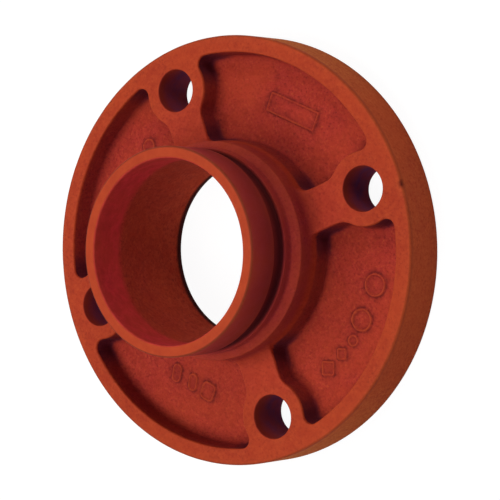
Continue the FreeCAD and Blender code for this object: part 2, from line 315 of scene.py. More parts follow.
# The rounded foot between the face and the drafted hub, seen as a section
FOOT_CENTRE = HUB_RADIUS - HUB_FOOT_ROUND * SLOPE + HUB_FOOT_ROUND / math.cos(DRAFT)
FOOT_INNER = FOOT_CENTRE - HUB_FOOT_ROUND * math.cos(DRAFT)
FOOT_TOP = FACE + HUB_FOOT_ROUND * (1 - math.sin(DRAFT))
FOOT_EDGE = FOOT_CENTRE + 0.5 * MM
HALVINGS = 40


def face_height(radius):
    """Height of the front face at a distance from the axis, with the hub's rounded foot."""
    off = np.clip(FOOT_CENTRE - np.asarray(radius), 0, HUB_FOOT_ROUND * math.cos(DRAFT))
    return FACE + HUB_FOOT_ROUND - np.sqrt(HUB_FOOT_ROUND ** 2 - off ** 2)


def wall_tops(loop, inward, on_hub):
    """Height at which the pocket wall meets the face or the hub's foot, for each point of its outline."""
    low, high = np.full(len(loop), FACE), np.full(len(loop), FOOT_TOP)
    for _ in range(HALVINGS):
        middle = (low + high) / 2
        spot = loop - inward * ((middle - FACE) * SLOPE)[:, None]
        above = face_height(np.linalg.norm(spot, axis=1)) > middle
        low, high = np.where(above, middle, low), np.where(above, high, middle)
    tops = (low + high) / 2
    tops[np.linalg.norm(loop, axis=1) > FOOT_EDGE] = FACE
    tops[on_hub] = FOOT_TOP
    return tops


# Raised marks
def mark_axes(mark):
    """Unit vectors in plan: out from the axis to a mark, and across and along the mark."""
    across = direction_of(mark.turn + mark.tilt)
    return direction_of(mark.turn), across, np.array([-across[1], across[0]])


def mark_offset(mark, points):
    """Distance in plan from points to the middle of a mark's line, below 0 inside it."""
    out, across, along = mark_axes(mark)
    local = points - out * mark.distance
    local = np.abs(np.stack([local @ along, local @ across], 1))
    beyond = local - (np.array([mark.half_along, mark.half_across]) - mark.corner)
    outside = np.linalg.norm(np.maximum(beyond, 0), axis=1) + np.minimum(beyond.max(1), 0)
    return outside - mark.corner + mark.width / 2


def mark_height(points):
    """How far the raised marks lift the pocket floor at each point."""
    lift = np.zeros(len(points))
    for mark in MARKS:
        off = np.abs(mark_offset(mark, points)) / mark.width
        lift = np.maximum(lift, mark.height * smooth(ramp(off, MARK_TOP + MARK_FLANK, MARK_TOP)))
    return lift


def mark_foot_shade(points):
    """Painted shade at the feet of the raised marks: how close each point lies to a mark's foot, from 0 to
    1, less at its inner foot.
    """
    close = np.zeros(len(points))
    for mark in MARKS:
        off = mark_offset(mark, points) / mark.width
        outer = np.exp(-((off - FOOT_PLACE) / OUTER_SPREAD) ** 2)
        inner = INNER_STRENGTH * np.exp(-((off + FOOT_PLACE) / INNER_SPREAD) ** 2)
        close = np.maximum(close, np.maximum(outer, inner))
    return close


def mark_points(mark):
    """Closely spaced points in plan along a mark's line."""
    out, across, along = mark_axes(mark)
    spread = lattice(max(mark.half_along, mark.half_across) + MARK_BORDER, MARK_STEP)
    spread = out * mark.distance + spread[:, :1] * across + spread[:, 1:] * along
    return spread[np.abs(mark_offset(mark, spread)) < mark.width]


# Points and faces
class Skin:
    """Collects patches of points and faces. They share their border points, which are welded at the end."""

    def __init__(self):
        self.points, self.faces, self.traits = [], [], []
        self.count = 0

    def patch(self, points, faces, machined, soft=0.0):
        """Add points with faces over them. machined and soft are one number or one for each point."""
        points = np.asarray(points, float)
        self.points.append(points)
        traits = np.zeros((len(points), 2))
        traits[:, 0], traits[:, 1] = machined, soft
        self.traits.append(traits)
        self.faces += [tuple(int(corner) + self.count for corner in face) for face in faces]
        self.count += len(points)

    def grid(self, rows, machined, soft=0.0):
        """Add rows of points, each row closed on itself, joined by four-sided faces."""
        rows = np.asarray(rows, float)
        high, wide = rows.shape[:2]
        here = np.arange(wide)
        beside = (here + 1) % wide
        faces = []
        for row in range(high - 1):
            start, end = row * wide, (row + 1) * wide
            faces += zip(start + here, start + beside, end + beside, end + here)
        self.patch(rows.reshape(-1, 3), faces, machined, soft)


def turned_rows(profile, angles):
    """Rows of points where a (radius, height) profile is turned through angles."""
    profile = np.asarray(profile)
    x = profile[:, :1] * np.cos(angles)[None, :]
    y = profile[:, :1] * np.sin(angles)[None, :]
    z = np.repeat(profile[:, 1:], len(angles), 1)
    return np.stack([x, y, z], 2)


def circle(middle, radius, angles):
    """Points round a circle in plan."""
    return np.asarray(middle) + radius * np.stack([np.cos(angles), np.sin(angles)], 1)


def inside_loop(points, loop):
    """Which points lie inside a closed loop."""
    inside = np.zeros(len(points), bool)
    x, y = points[:, 0], points[:, 1]
    for (ax, ay), (bx, by) in zip(loop, np.roll(loop, -1, 0)):
        crosses = (ay > y) != (by > y)
        if crosses.any():
            inside ^= crosses & (x < ax + (y - ay) * (bx - ax) / (by - ay))
    return inside


def nearest(points, others):
    """Distance from each point to the nearest of other points, worked out in batches."""
    batch = 2000
    result = np.empty(len(points))
    for start in range(0, len(points), batch):
        part = points[start:start + batch]
        result[start:start + batch] = np.sqrt(((part[:, None] - others[None]) ** 2).sum(2).min(1))
    return result


def lattice(reach, step):
    """A triangular lattice of points over a square round the origin."""
    points = []
    for number, y in enumerate(np.arange(-reach, reach, step * math.sqrt(3) / 2)):
        x = np.arange(-reach, reach, step) + (number % 2) * step / 2
        points.append(np.stack([x, np.full(len(x), y)], 1))
    return np.concatenate(points)


def filled(loops, free, keep):
    """Triangles over closed loops of points and free points, those kept whose middles pass a test."""
    edges, start = [], 0
    for loop in loops:
        edges += [(start + number, start + (number + 1) % len(loop)) for number in range(len(loop))]
        start += len(loop)
    scaled = np.concatenate(loops + [free]) / MM
    found = geometry.delaunay_2d_cdt([Vector(point) for point in scaled], edges, [], 0, SAME_SPOT)
    spots = np.array([list(point) for point in found[0]]) * MM
    faces = np.array([face for face in found[2] if len(face) == 3])
    faces = faces[keep(spots[faces].mean(1))]
    first, second = (spots[faces[:, corner]] - spots[faces[:, 0]] for corner in (1, 2))
    area = np.abs(first[:, 0] * second[:, 1] - first[:, 1] * second[:, 0]) / 2
    longest = np.max([(side ** 2).sum(1) for side in (first, second, second - first)], axis=0)
    return spots, faces[area > SLIVER * longest]


skin = Skin()
directions = [FULL_TURN * number / BOLT_COUNT for number in range(BOLT_COUNT)]
outlines = [pocket_outline(direction) for direction in directions]
bolt_angles = [direction + math.pi / BOLT_COUNT for direction in directions]
bolts = [BOLT_RADIUS * direction_of(angle) for angle in bolt_angles]
rim_angles = FULL_TURN * np.arange(RIM_STEPS) / RIM_STEPS
hole_angles = FULL_TURN * np.arange(HOLE_STEPS) / HOLE_STEPS

# Pockets: drafted walls, rounded floor edges and floors
FILLET_MIDDLE = (FACE - POCKET_FLOOR - FLOOR_ROUND) * SLOPE + FLOOR_ROUND / math.cos(DRAFT)
FILLET_START = POCKET_FLOOR + FLOOR_ROUND * (1 - math.sin(DRAFT))


def pocket_walls(loop, inward, on_hub):
    """Rows of points down a pocket's wall and round its floor edge, and how soft each point's edge is."""
    tops = wall_tops(loop, inward, on_hub)
    heights = [tops - row for row in EDGE_ROWS]
    lowest = heights[-1]
    heights += [lowest + (FILLET_START - lowest) * share for share in np.linspace(0, 1, WALL_ROWS + 1)[1:]]
    rows = []
    for height in heights:
        rows.append(np.column_stack([loop + inward * ((FACE - height) * SLOPE)[:, None], height]))
    for angle in np.linspace(DRAFT, math.pi / 2, FILLET_ROWS + 1)[1:]:
        offset = FILLET_MIDDLE - FLOOR_ROUND * math.cos(angle)
        height = POCKET_FLOOR + FLOOR_ROUND * (1 - math.sin(angle))
        rows.append(np.column_stack([loop + inward * offset, np.full(len(loop), height)]))
    softness = np.zeros((len(rows), len(loop)))
    softness[:len(EDGE_ROWS)] = EDGE_SOFTNESS[:, None] * ~on_hub
    return rows, softness.ravel()


def pocket_floor(loop, direction):
    """Points and faces of the floor inside a loop, with the marks of the pocket in a direction."""
    spread = lattice(FLANGE_RADIUS, FACE_STEP)
    spread = spread[inside_loop(spread, loop)]
    spread = spread[nearest(spread, loop) > FACE_STEP * BORDER_GAP]
    for mark in MARKS:
        if math.cos(mark.turn - direction) > math.cos(math.pi / BOLT_COUNT):
            fine = mark_points(mark)
            spread = np.concatenate([spread[nearest(spread, fine) > FACE_STEP * MARK_GAP], fine])
    spots, faces = filled([loop], spread, lambda middles: inside_loop(middles, loop))
    return np.column_stack([spots, POCKET_FLOOR + mark_height(spots)]), faces


top_loops, hub_angles = [], []
for (loop, inward, on_hub), direction in zip(outlines, directions):
    rows, softness = pocket_walls(loop, inward, on_hub)
    skin.grid(rows, 0.0, softness)
    skin.patch(*pocket_floor(rows[-1][:, :2], direction), 0.0)
    top_loops.append(rows[0][:, :2])
    hub_angles.append(np.arctan2(rows[0][on_hub, 1], rows[0][on_hub, 0]))

# Angles round the hub: the pockets' own, and even steps across each rib
ring = np.sort(np.concatenate(hub_angles) % FULL_TURN)
gaps = np.diff(np.append(ring, ring[0] + FULL_TURN))
extra = []
for start, gap in zip(ring, gaps):
    steps = round(gap * HUB_RADIUS / OUTLINE_STEP)
    extra += [start + gap * number / steps for number in range(1, steps)]
ring = np.sort(np.append(ring, np.array(extra) % FULL_TURN))

# Front face: rim, bosses, ribs and the hub's foot
FRONT_RADIUS = FLANGE_RADIUS - FACE * math.tan(FLANGE_DRAFT)
FLAT_REACH = FRONT_RADIUS - FRONT_ROUND * math.tan((math.pi / 2 - FLANGE_DRAFT) / 2)
HOLE_MOUTH = HOLE_RADIUS + EDGE_BREAK


def clear_of_holes(points):
    """Which points lie outside the mouths of the bolt holes."""
    return np.all([np.linalg.norm(points - bolt, axis=1) > HOLE_MOUTH for bolt in bolts], axis=0)


def on_face(points):
    """Which points lie on the front face, outside the pockets and holes."""
    radius = np.linalg.norm(points, axis=1)
    keep = (radius > FOOT_INNER) & (radius < FLAT_REACH) & clear_of_holes(points)
    for loop in top_loops:
        keep &= ~inside_loop(points, loop)
    return keep


mouths = [circle(bolt, HOLE_MOUTH, hole_angles) for bolt in bolts]
face_loops = [circle((0, 0), FLAT_REACH, rim_angles), circle((0, 0), FOOT_INNER, ring)] + top_loops + mouths
borders = np.concatenate(face_loops)
beside_edges = [loop - inward * row for loop, inward, _ in outlines for row in EDGE_ROWS[1:]]
beside_edges = np.concatenate(beside_edges)
beside_edges = beside_edges[on_face(beside_edges)]
beside_edges = beside_edges[nearest(beside_edges, borders) > ROW_GAP]
spread = lattice(FLANGE_RADIUS, FACE_STEP)
spread = spread[on_face(spread)]
is_free = nearest(spread, borders) > FACE_STEP * BORDER_GAP
is_free &= nearest(spread, beside_edges) > FACE_STEP * BORDER_GAP
front_spots, front_faces = filled(face_loops, np.concatenate([beside_edges, spread[is_free]]), on_face)
front_heights = face_height(np.linalg.norm(front_spots, axis=1))
soft_edges = np.concatenate([top[~on_hub] for top, (_, _, on_hub) in zip(top_loops, outlines)])
front_softness = ramp(nearest(front_spots, soft_edges), SOFT_END, SOFT_FULL)
skin.patch(np.column_stack([front_spots, front_heights]), front_faces, 0.0, front_softness)

# Side of the flange, from the front face over its rounded edge down to the sealing face
side_profile = rounded_profile([
    (FLAT_REACH, FACE, 0),
    (FRONT_RADIUS, FACE, FRONT_ROUND),
    (FLANGE_RADIUS, 0, EDGE_BREAK),
    (FLANGE_RADIUS - 2 * EDGE_BREAK, 0, 0),
], SIDE_STEP)
skin.grid(turned_rows(side_profile, rim_angles), 0.0)

# Hub, neck, groove, pipe end and bore
hub_edge = HUB_RADIUS - (HUB_TOP - FACE) * SLOPE
mouth_foot = (BORE_RADIUS, LENGTH - 2 * MOUTH_ROUND, 0)
outer_profile = rounded_profile([
    (FOOT_INNER, FOOT_TOP, 0),
    (hub_edge, HUB_TOP, HUB_EDGE_ROUND),
    (PIPE_RADIUS, NECK_FOOT, NECK_ROUND),
    (PIPE_RADIUS, GROOVE_FOOT, GROOVE_BREAK),
    (GROOVE_RADIUS, GROOVE_FOOT, GROOVE_ROUND),
    (GROOVE_RADIUS, GROOVE_TOP, GROOVE_ROUND),
    (PIPE_RADIUS, GROOVE_TOP, GROOVE_BREAK),
    (PIPE_RADIUS, LENGTH, PIPE_ROUND),
    (BORE_RADIUS, LENGTH, MOUTH_ROUND),
    mouth_foot,
], NECK_STEP)
bore_profile = rounded_profile([
    mouth_foot,
    (BORE_RADIUS, LENGTH - BORE_TURNED + TURNED_BLUR, 0),
    (BORE_RADIUS, LENGTH - BORE_TURNED - TURNED_BLUR, 0),
    (BORE_RADIUS, BORE_DARK, 0),
    (BORE_RADIUS, BORE_DARKEST, 0),
    (BORE_RADIUS, 0, EDGE_BREAK),
    (BORE_RADIUS + 2 * EDGE_BREAK, 0, 0),
], BORE_STEP)
neck_profile = np.concatenate([outer_profile, bore_profile[1:]])
is_bore = neck_profile[:, 0] < BORE_RADIUS + 2 * EDGE_BREAK
turned_above = np.where(is_bore, LENGTH - BORE_TURNED, NECK_FOOT + NECK_ROUND / 2)
machined = (neck_profile[:, 1] > turned_above).astype(float)
skin.grid(turned_rows(neck_profile, ring), np.repeat(machined, len(ring)))

# Bolt holes
hole_profile = rounded_profile([
    (HOLE_MOUTH, FACE, 0),
    (HOLE_RADIUS, FACE, HOLE_ROUND),
    (HOLE_RADIUS, 0, HOLE_ROUND),
    (HOLE_MOUTH, 0, 0),
], HOLE_STEP)
for bolt in bolts:
    rows = turned_rows(hole_profile, hole_angles)
    rows[:, :, :2] += bolt
    skin.grid(rows, 1.0)

# Sealing face
BACK_INNER = BORE_RADIUS + 2 * EDGE_BREAK
BACK_OUTER = FLANGE_RADIUS - 2 * EDGE_BREAK


def on_back(points):
    """Which points lie on the sealing face."""
    radius = np.linalg.norm(points, axis=1)
    return (radius > BACK_INNER) & (radius < BACK_OUTER) & clear_of_holes(points)


back_loops = [circle((0, 0), BACK_OUTER, rim_angles), circle((0, 0), BACK_INNER, ring)] + mouths
back_spread = lattice(FLANGE_RADIUS, BACK_STEP)
back_spread = back_spread[on_back(back_spread)]
back_spread = back_spread[nearest(back_spread, np.concatenate(back_loops)) > BACK_GAP]
back_spots, back_faces = filled(back_loops, back_spread, on_back)
skin.patch(np.column_stack([back_spots, np.zeros(len(back_spots))]), back_faces, 1.0)


# One mesh from the patches
def welded(skin, name):
    """A mesh of the skin's patches, with their shared border points welded."""
    mesh = bpy.data.meshes.new(name)
    mesh.from_pydata(np.concatenate(skin.points).tolist(), [], skin.faces)
    traits = np.concatenate(skin.traits)
    for number, trait in enumerate(("machined", "soft")):
        layer = mesh.attributes.new(trait, "FLOAT", "POINT")
        layer.data.foreach_set("value", traits[:, number].astype(np.float32))
    work = bmesh.new()
    work.from_mesh(mesh)
    bmesh.ops.remove_doubles(work, verts=work.verts, dist=WELD)
    bmesh.ops.recalc_face_normals(work, faces=work.faces)
    open_edges = sum(1 for edge in work.edges if len(edge.link_faces) != 2)
    work.to_mesh(mesh)
    work.free()
    triangles = len(mesh.loops) - 2 * len(mesh.polygons)
    print(f"{name}: {len(mesh.vertices)} points, {triangles} triangles, {open_edges} open edges")
    return mesh


mesh = welded(skin, "casting")
point_count = len(mesh.vertices)


def stored(layer):
    """A point attribute of the mesh as an array."""
    found = np.zeros(point_count, np.float32)
    mesh.attributes[layer].data.foreach_get("value", found)
    return found.astype(float)


def coordinates():
    """The mesh's points as an array."""
    found = np.zeros(point_count * 3)
    mesh.vertices.foreach_get("co", found)
    return found.reshape(-1, 3)


def move_to(spots):
    """Put the mesh's points in new places."""
    mesh.vertices.foreach_set("co", spots.ravel())
    mesh.update()


def point_normals():
    """The mesh's normals at its points."""
    found = np.zeros(point_count * 3, np.float32)
    mesh.vertex_normals.foreach_get("vector", found)
    return found.reshape(-1, 3).astype(float)


pairs = np.zeros(len(mesh.edges) * 2, int)
mesh.edges.foreach_get("vertices", pairs)
pairs = pairs.reshape(-1, 2)
degree = np.bincount(pairs.ravel(), minlength=point_count).astype(float)


def neighbour_mean(numbers):
    """For each point, the mean of a quantity over the points it shares an edge with."""
    total = np.zeros_like(numbers)
    np.add.at(total, pairs[:, 0], numbers[pairs[:, 1]])
    np.add.at(total, pairs[:, 1], numbers[pairs[:, 0]])
    return total / (degree[:, None] if numbers.ndim == 2 else degree)


# Soft edges round the pockets, as a pattern leaves them in sand
spots = coordinates()
soft = stored("soft")
for _ in range(SOFT_ROUNDS):
    spots += (neighbour_mean(spots) - spots) * (SOFT_SHARE * soft)[:, None]
move_to(spots)

# Room left where zones are told apart by radius or height, and the depth over which the pockets' sets in
MARGIN = 1 * MM
BACK_LAYER = 1.2 * MM
POCKET_FADE = 4 * MM

# Uneven cast faces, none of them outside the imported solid's box
normals = point_normals()
radius = np.hypot(spots[:, 0], spots[:, 1])
on_sealing_face = spots[:, 2] < BACK_LAYER
on_side = radius > FLAT_REACH
hub_to_rim = (radius > HUB_RADIUS - MARGIN) & (radius < RIM_RADIUS + MARGIN)
cast = (1 - stored("machined")) * ~on_sealing_face
in_pocket = ramp(spots[:, 2], FACE, FACE - POCKET_FADE) * hub_to_rim * cast
unevenness = np.array([
    sum(noise.noise(Vector(spot) / size) * height for size, height in LUMPS)
    for spot in spots.tolist()
])
push = unevenness * cast * (FACE_UNEVEN + POCKET_UNEVEN * in_pocket)
push = np.where(on_side, np.minimum(push, 0), push)
spots += normals * push[:, None]

knocked = ramp(np.linalg.norm(spots - KNOCK_PLACE, axis=1), KNOCK_REACH, 0)
spots -= normals * (smooth(knocked) * KNOCK_DEPTH)[:, None]
move_to(spots)

# Where the skin bends outwards or inwards, for worn edges and for painted shade in hollows and corners
BEND_UNIT = 0.5 * MM
BEND_ROUNDS = 6
BEND_SHARE = 0.5
EDGE_GAIN = 5
HOLLOW_GAIN = 7
normals = point_normals()
bend = ((neighbour_mean(spots) - spots) * normals).sum(1) / BEND_UNIT
for _ in range(BEND_ROUNDS):
    bend = (1 - BEND_SHARE) * bend + BEND_SHARE * neighbour_mean(bend)

# Zones of the surface, each a share from 0 to 1 at every point, which the paint reads by name
BORE_ROOM = 0.45 * MM
HOLE_ROOM = 0.2 * MM
GROOVE_ROOM = 0.3 * MM
# Painted shadow in the groove and painted shade on the pipe end beside it
GROOVE_DEEP = PIPE_RADIUS - 1 * MM
GROOVE_SHALLOW = PIPE_RADIUS - 0.2 * MM
GROOVE_DARK = 0.35
GROOVE_DARKER = 0.45
GROOVE_LIGHT_END = GROOVE_TOP - 1 * MM
GROOVE_DARK_END = GROOVE_TOP - 6 * MM
SEAT_DARK = 0.36
SEAT_LIGHT_END = LENGTH - 4 * MM
SEAT_DARK_END = LENGTH - 14 * MM
# Painted shade in the pockets' corners and on their walls
CORNER_FADE = 10 * MM
CORNER_FULL = 4 * MM
CORNER_UPRIGHT = (0.9, 0.6)
WALL_UPRIGHT = (0.75, 0.25)
FLARE_ROOM = 0.4 * MM
# Olive flecks on the side, more at two stretches as a painted highlight
OLIVE_HIGHLIGHT_PLACES = (math.radians(111.5), math.radians(-58.5))
OLIVE_SPREAD = math.radians(50)
OLIVE_LEAST = 0.12
OLIVE_HIGHLIGHT_MORE = 0.55
# Painted shade on the rounded edges: its share on the flange, and where it starts on the flange and the
# pipe end
FLANGE_ROUNDING_SHADE = 0.6
FLANGE_SHADE_START = FLAT_REACH + 0.3 * MM
FLANGE_SHADE_FOOT = FACE - FRONT_ROUND - 0.1 * MM
PIPE_SHADE_START = PIPE_RADIUS - PIPE_ROUND + 0.15 * MM
END_FACE_EDGE = PIPE_RADIUS - PIPE_ROUND + 0.1 * MM
WARM_START = 58 * MM
WARM_FULL = 76 * MM
NECK_FULL = FACE + 4 * MM
MARK_ZONE = 1.2 * MM

height = spots[:, 2]
upright = normals[:, 2]
in_bore = radius < BORE_RADIUS + BORE_ROOM
to_bolt = np.min([np.linalg.norm(spots[:, :2] - bolt, axis=1) for bolt in bolts], axis=0)
in_hole = to_bolt < HOLE_RADIUS + HOLE_ROOM
on_end_face = height > LENGTH - MARGIN


def corner_shade_zone():
    """Painted shade in the pockets' corners: how close each point lies to a corner, on its walls and
    rounded floor edges.
    """
    middles = []
    for angle in bolt_angles:
        out, beside = direction_of(angle), direction_of(angle + math.pi / 2)
        for corner in (RIM_CORNER, HUB_CORNER):
            middles += [out * corner[0] + beside * corner[1] * side for side in (-1, 1)]
    close = ramp(nearest(spots[:, :2], np.array(middles)), CORNER_FADE, CORNER_FULL)
    return close * ramp(upright, *CORNER_UPRIGHT) * (height < FACE - BACK_LAYER) * hub_to_rim


def groove_shadow_zone():
    """Painted shadow in the groove, darker towards the hub, and painted shade on the pipe end beside it,
    which darkens towards the groove.
    """
    between = (height > GROOVE_FOOT - GROOVE_ROOM) & (height < GROOVE_TOP + GROOVE_ROOM) & ~in_bore
    groove = ramp(radius, GROOVE_SHALLOW, GROOVE_DEEP) * between
    groove *= GROOVE_DARK + GROOVE_DARKER * ramp(height, GROOVE_LIGHT_END, GROOVE_DARK_END)
    on_seat = (height > GROOVE_TOP) & (radius > PIPE_RADIUS - GROOVE_ROOM)
    return np.maximum(groove, SEAT_DARK * on_seat * ramp(height, SEAT_LIGHT_END, SEAT_DARK_END))


def olive_and_highlight_zone():
    """Olive flecks on the side: a little all round, and more at two stretches, where they are a painted
    highlight.
    """
    angle = np.arctan2(spots[:, 1], spots[:, 0])
    bloom = np.zeros(point_count)
    for place in OLIVE_HIGHLIGHT_PLACES:
        away = np.abs((angle - place + math.pi) % FULL_TURN - math.pi)
        bloom = np.maximum(bloom, ramp(away, OLIVE_SPREAD, 0))
    return side_zone * (OLIVE_LEAST + OLIVE_HIGHLIGHT_MORE * bloom)


def rounding_shade_zone():
    """Painted shade on the rounded outer edge of the pipe end and, more weakly, on the front edge of the
    flange.
    """
    pipe = (radius > PIPE_SHADE_START) & (radius < PIPE_RADIUS + MARGIN) & (height > LENGTH - PIPE_ROUND)
    flange = (radius > FLANGE_SHADE_START) & (height > FLANGE_SHADE_FOOT)
    return np.maximum(pipe, FLANGE_ROUNDING_SHADE * flange)


def neck_zone():
    """The outside of the hub, neck and pipe end."""
    outside = ~in_bore & (~on_end_face | (radius > END_FACE_EDGE))
    return (radius < HUB_RADIUS + MARGIN) * ramp(height, FACE + MARGIN, NECK_FULL) * outside


side_zone = on_side * ramp(height, FACE - MARGIN, FACE - 2 * MARGIN)
on_walls = (height < FACE - MARGIN) & hub_to_rim & ~in_hole & ~on_sealing_face
zones = {
    "edge": np.clip(-bend * EDGE_GAIN, 0, 1),
    # Painted shade in hollows
    "hollow_shade": np.clip(bend * HOLLOW_GAIN, 0, 1),
    # Painted shade in the pockets' corners
    "corner": corner_shade_zone(),
    "pocket": in_pocket,
    # Painted shade on the pocket walls
    "wall": ramp(upright, *WALL_UPRIGHT) * on_walls,
    # Painted shade at the feet of the raised marks
    "foot": mark_foot_shade(spots[:, :2]) * (np.abs(height - POCKET_FLOOR) < MARK_ZONE),
    "bore": in_bore,
    "bore_depth": in_bore * ramp(height, LENGTH, 0),
    # Painted shade at the far end of the bore
    "bore_end_shade": in_bore * ramp(height, BORE_DARK, BORE_DARKEST),
    # Painted shadow in the groove, and painted shade on the pipe end beside it
    "groove": groove_shadow_zone(),
    # Painted light on the flare between the hub and the neck
    "flare": (radius > PIPE_RADIUS + FLARE_ROOM) & (height > HUB_TOP - FLARE_ROOM),
    "neck": neck_zone(),
    "hole": in_hole,
    "hole_depth": in_hole * ramp(height, FACE, 0),
    "side": side_zone,
    # Olive flecks on the side, partly a painted highlight
    "side_olive_highlight": olive_and_highlight_zone(),
    # Painted shade on the rounded edges of the pipe end and the flange
    "rounding_shade": rounding_shade_zone(),
    # Share of the rim's paint, which the face takes on from its lighter inner part, painted light in part
    "warm": np.maximum(ramp(radius, WARM_START, WARM_FULL), on_end_face),
    "knock": knocked,
}
for zone, shares in zones.items():
    layer = mesh.attributes.new(zone, "FLOAT", "POINT")
    layer.data.foreach_set("value", np.asarray(shares, np.float32))

mesh.polygons.foreach_set("use_smooth", np.ones(len(mesh.polygons), bool))
casting = bpy.data.objects.new("casting", mesh)
scene.collection.objects.link(casting)
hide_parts("flange_adapter")
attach(casting, "root")


# Materials
def linear(code):
    """A colour written as #rrggbb, in the renderer's linear values, by the sRGB curve."""
    parts = [int(code[start:start + 2], 16) / 255 for start in (1, 3, 5)]
    parts = [part / 12.92 if part <= 0.04045 else ((part + 0.055) / 1.055) ** 2.4 for part in parts]
    return (*parts, 1)


class Nodes:
    """Short ways to add nodes to one material or world."""

    def __init__(self, owner):
        owner.use_nodes = True
        self.tree = owner.node_tree
        self.tree.nodes.clear()

    def add(self, kind, **inputs):
        """Add a node, setting or linking the named inputs."""
        node = self.tree.nodes.new(kind)
        for name, value in inputs.items():
            self.feed(node.inputs[name.replace("_", " ")], value)
        return node

    def feed(self, socket, value):
        """Link a socket to another socket, or set its number."""
        if isinstance(value, bpy.types.NodeSocket):
            self.tree.links.new(value, socket)
        else:
            socket.default_value = value

    def math(self, operation, first, second=0.0, clamp=False):
        """A Math node's output."""
        node = self.tree.nodes.new("ShaderNodeMath")
        node.operation, node.use_clamp = operation, clamp
        self.feed(node.inputs[0], first)
        self.feed(node.inputs[1], second)
        return node.outputs[0]

    def times(self, first, second):
        """The product of two values."""
        return self.math("MULTIPLY", first, second)

    def blend(self, share, first, second):
        """A colour mixed from two, by a share."""
        node = self.tree.nodes.new("ShaderNodeMix")
        node.data_type = "RGBA"
        for number, value in ((0, share), (6, first), (7, second)):
            self.feed(node.inputs[number], value)
        return node.outputs[2]

    def ranged(self, value, low, high, new_low=0.0, new_high=1.0):
        """A value carried from one range to another, held at its ends."""
        node = self.tree.nodes.new("ShaderNodeMapRange")
        for socket, number in zip(node.inputs, (value, low, high, new_low, new_high)):
            self.feed(socket, number)
        return node.outputs[0]

    def by_share(self, share, at_none, at_full):
        """A number that goes from one value to another as a share goes from 0 to 1."""
        return self.ranged(share, 0, 1, at_none, at_full)

    def attribute(self, name):
        """A point attribute of the mesh."""
        node = self.tree.nodes.new("ShaderNodeAttribute")
        node.attribute_name = name
        return node.outputs["Fac"]

    def noise(self, where, size, detail, roughness):
        """A noise whose features are about a size across."""
        inputs = {"Vector": where, "Scale": 1 / size, "Detail": detail, "Roughness": roughness}
        return self.add("ShaderNodeTexNoise", **inputs).outputs["Fac"]


# The face's paint, more crimson towards the hub, and lighter there as painted light against the neck's
# shadow
FACE_PAINT_AND_LIGHT = linear("#b8402e")
RIM_PAINT = linear("#b04228")
# Painted shade for the pocket walls and the pockets' corners
WALL_SHADE_PAINT = linear("#24142c")
POCKET_PAINT = linear("#ac372e")
# The neck's paint, darker and more crimson than the face's: partly its own smooth coat, partly painted
# shade
NECK_PAINT_AND_SHADE = linear("#9c3034")
# Dark paint for the pits of the grain, and painted shade in hollows and at the feet of the raised marks
PIT_AND_SHADE_PAINT = linear("#4a141c")
# Painted light on the flare between the hub and the neck
FLARE_LIGHT_PAINT = linear("#ae3a34")
# Painted shade on the rounded edges of the pipe end and the flange's front
ROUNDING_SHADE_PAINT = linear("#6a3418")
# Olive flecks for the side, partly a painted highlight
SIDE_OLIVE_AND_HIGHLIGHT = linear("#cc8848")
# The bore's paint, lighter than the face's as painted light; past the turned mouth it goes darker and
# browner, partly as painted shade
BORE_PAINT_AND_LIGHT = linear("#d43a40")
BORE_DEEP = linear("#a83c2c")
BORE_FAR = linear("#c05036")
# Painted shade at the far end of the bore
BORE_END_SHADE = linear("#140c14")
HOLE_PAINT = linear("#92302a")
# Painted shade deeper in the bolt holes
HOLE_SHADE_PAINT = linear("#5c2a54")
# Painted shadow in the groove
GROOVE_SHADOW_PAINT = linear("#160610")
EDGE_PAINT = linear("#c45a30")
STAIN_PAINT = linear("#7c2420")
MOTTLE_PAINT = linear("#982e22")
BROAD_PAINT = linear("#bc4826")
KNOCK_PAINT = linear("#3a1414")

# Noises as (size, detail, roughness)
BROAD_NOISE = (26 * MM, 2.0, 0.5)
MOTTLE_NOISE = (4.5 * MM, 4.0, 0.6)
PATCH_NOISE = (2.2 * MM, 2.0, 0.5)
GRAIN_NOISE = (1.15 * MM, 4.0, 0.65)
FINE_NOISE = (0.5 * MM, 3.0, 0.6)

# Ranges of the noises, or of a depth, over which each paint comes in
PIT_RANGE = (0.47, 0.32)
CRUMB_RANGE = (0.55, 0.7)
STAIN_RANGE = (0.52, 0.36)
MOTTLE_RANGE = (0.35, 0.65)
BROAD_RANGE = (0.4, 0.7)
FOOT_RANGE = (0.4, 0.6)
OLIVE_RANGE = (0.4, 0.6)
BORE_DEEP_RANGE = (0.25, 0.31)
BORE_FAR_RANGE = (0.5, 1.0)
HOLE_SHADE_RANGE = (0.1, 0.5)

# How much of each paint its zone or noise lays on. The pairs of SPECKLE and STAIN_SHARE go from plain faces
# to the pockets and the bore, that of the hollows' painted shade to the pockets, and the others over the
# noise's range.
SPECKLE = (0.9, 1.4)
PIT_SHARE = 0.42
CRUMB_SHARE = 0.4
STAIN_SHARE = (0.2, 0.28)
MOTTLE_SHARE = (0.0, 0.4)
BROAD_SHARE = (0.0, 0.3)
EDGE_SHARE = 0.6
HOLLOW_SHADE_SHARE = (0.15, 0.5)
WALL_SHADE_SHARE = 0.3
CORNER_SHADE_SHARE = 0.6
FOOT_SHADE_SHARE = (0.7, 0.3)
OLIVE_SHARE = (0.4, 1.0)
ROUNDING_SHADE_SHARE = 0.55
BORE_END_SHADE_SHARE = 0.9
KNOCK_SHARE = 1.1
TURNED_SMOOTH = 0.75

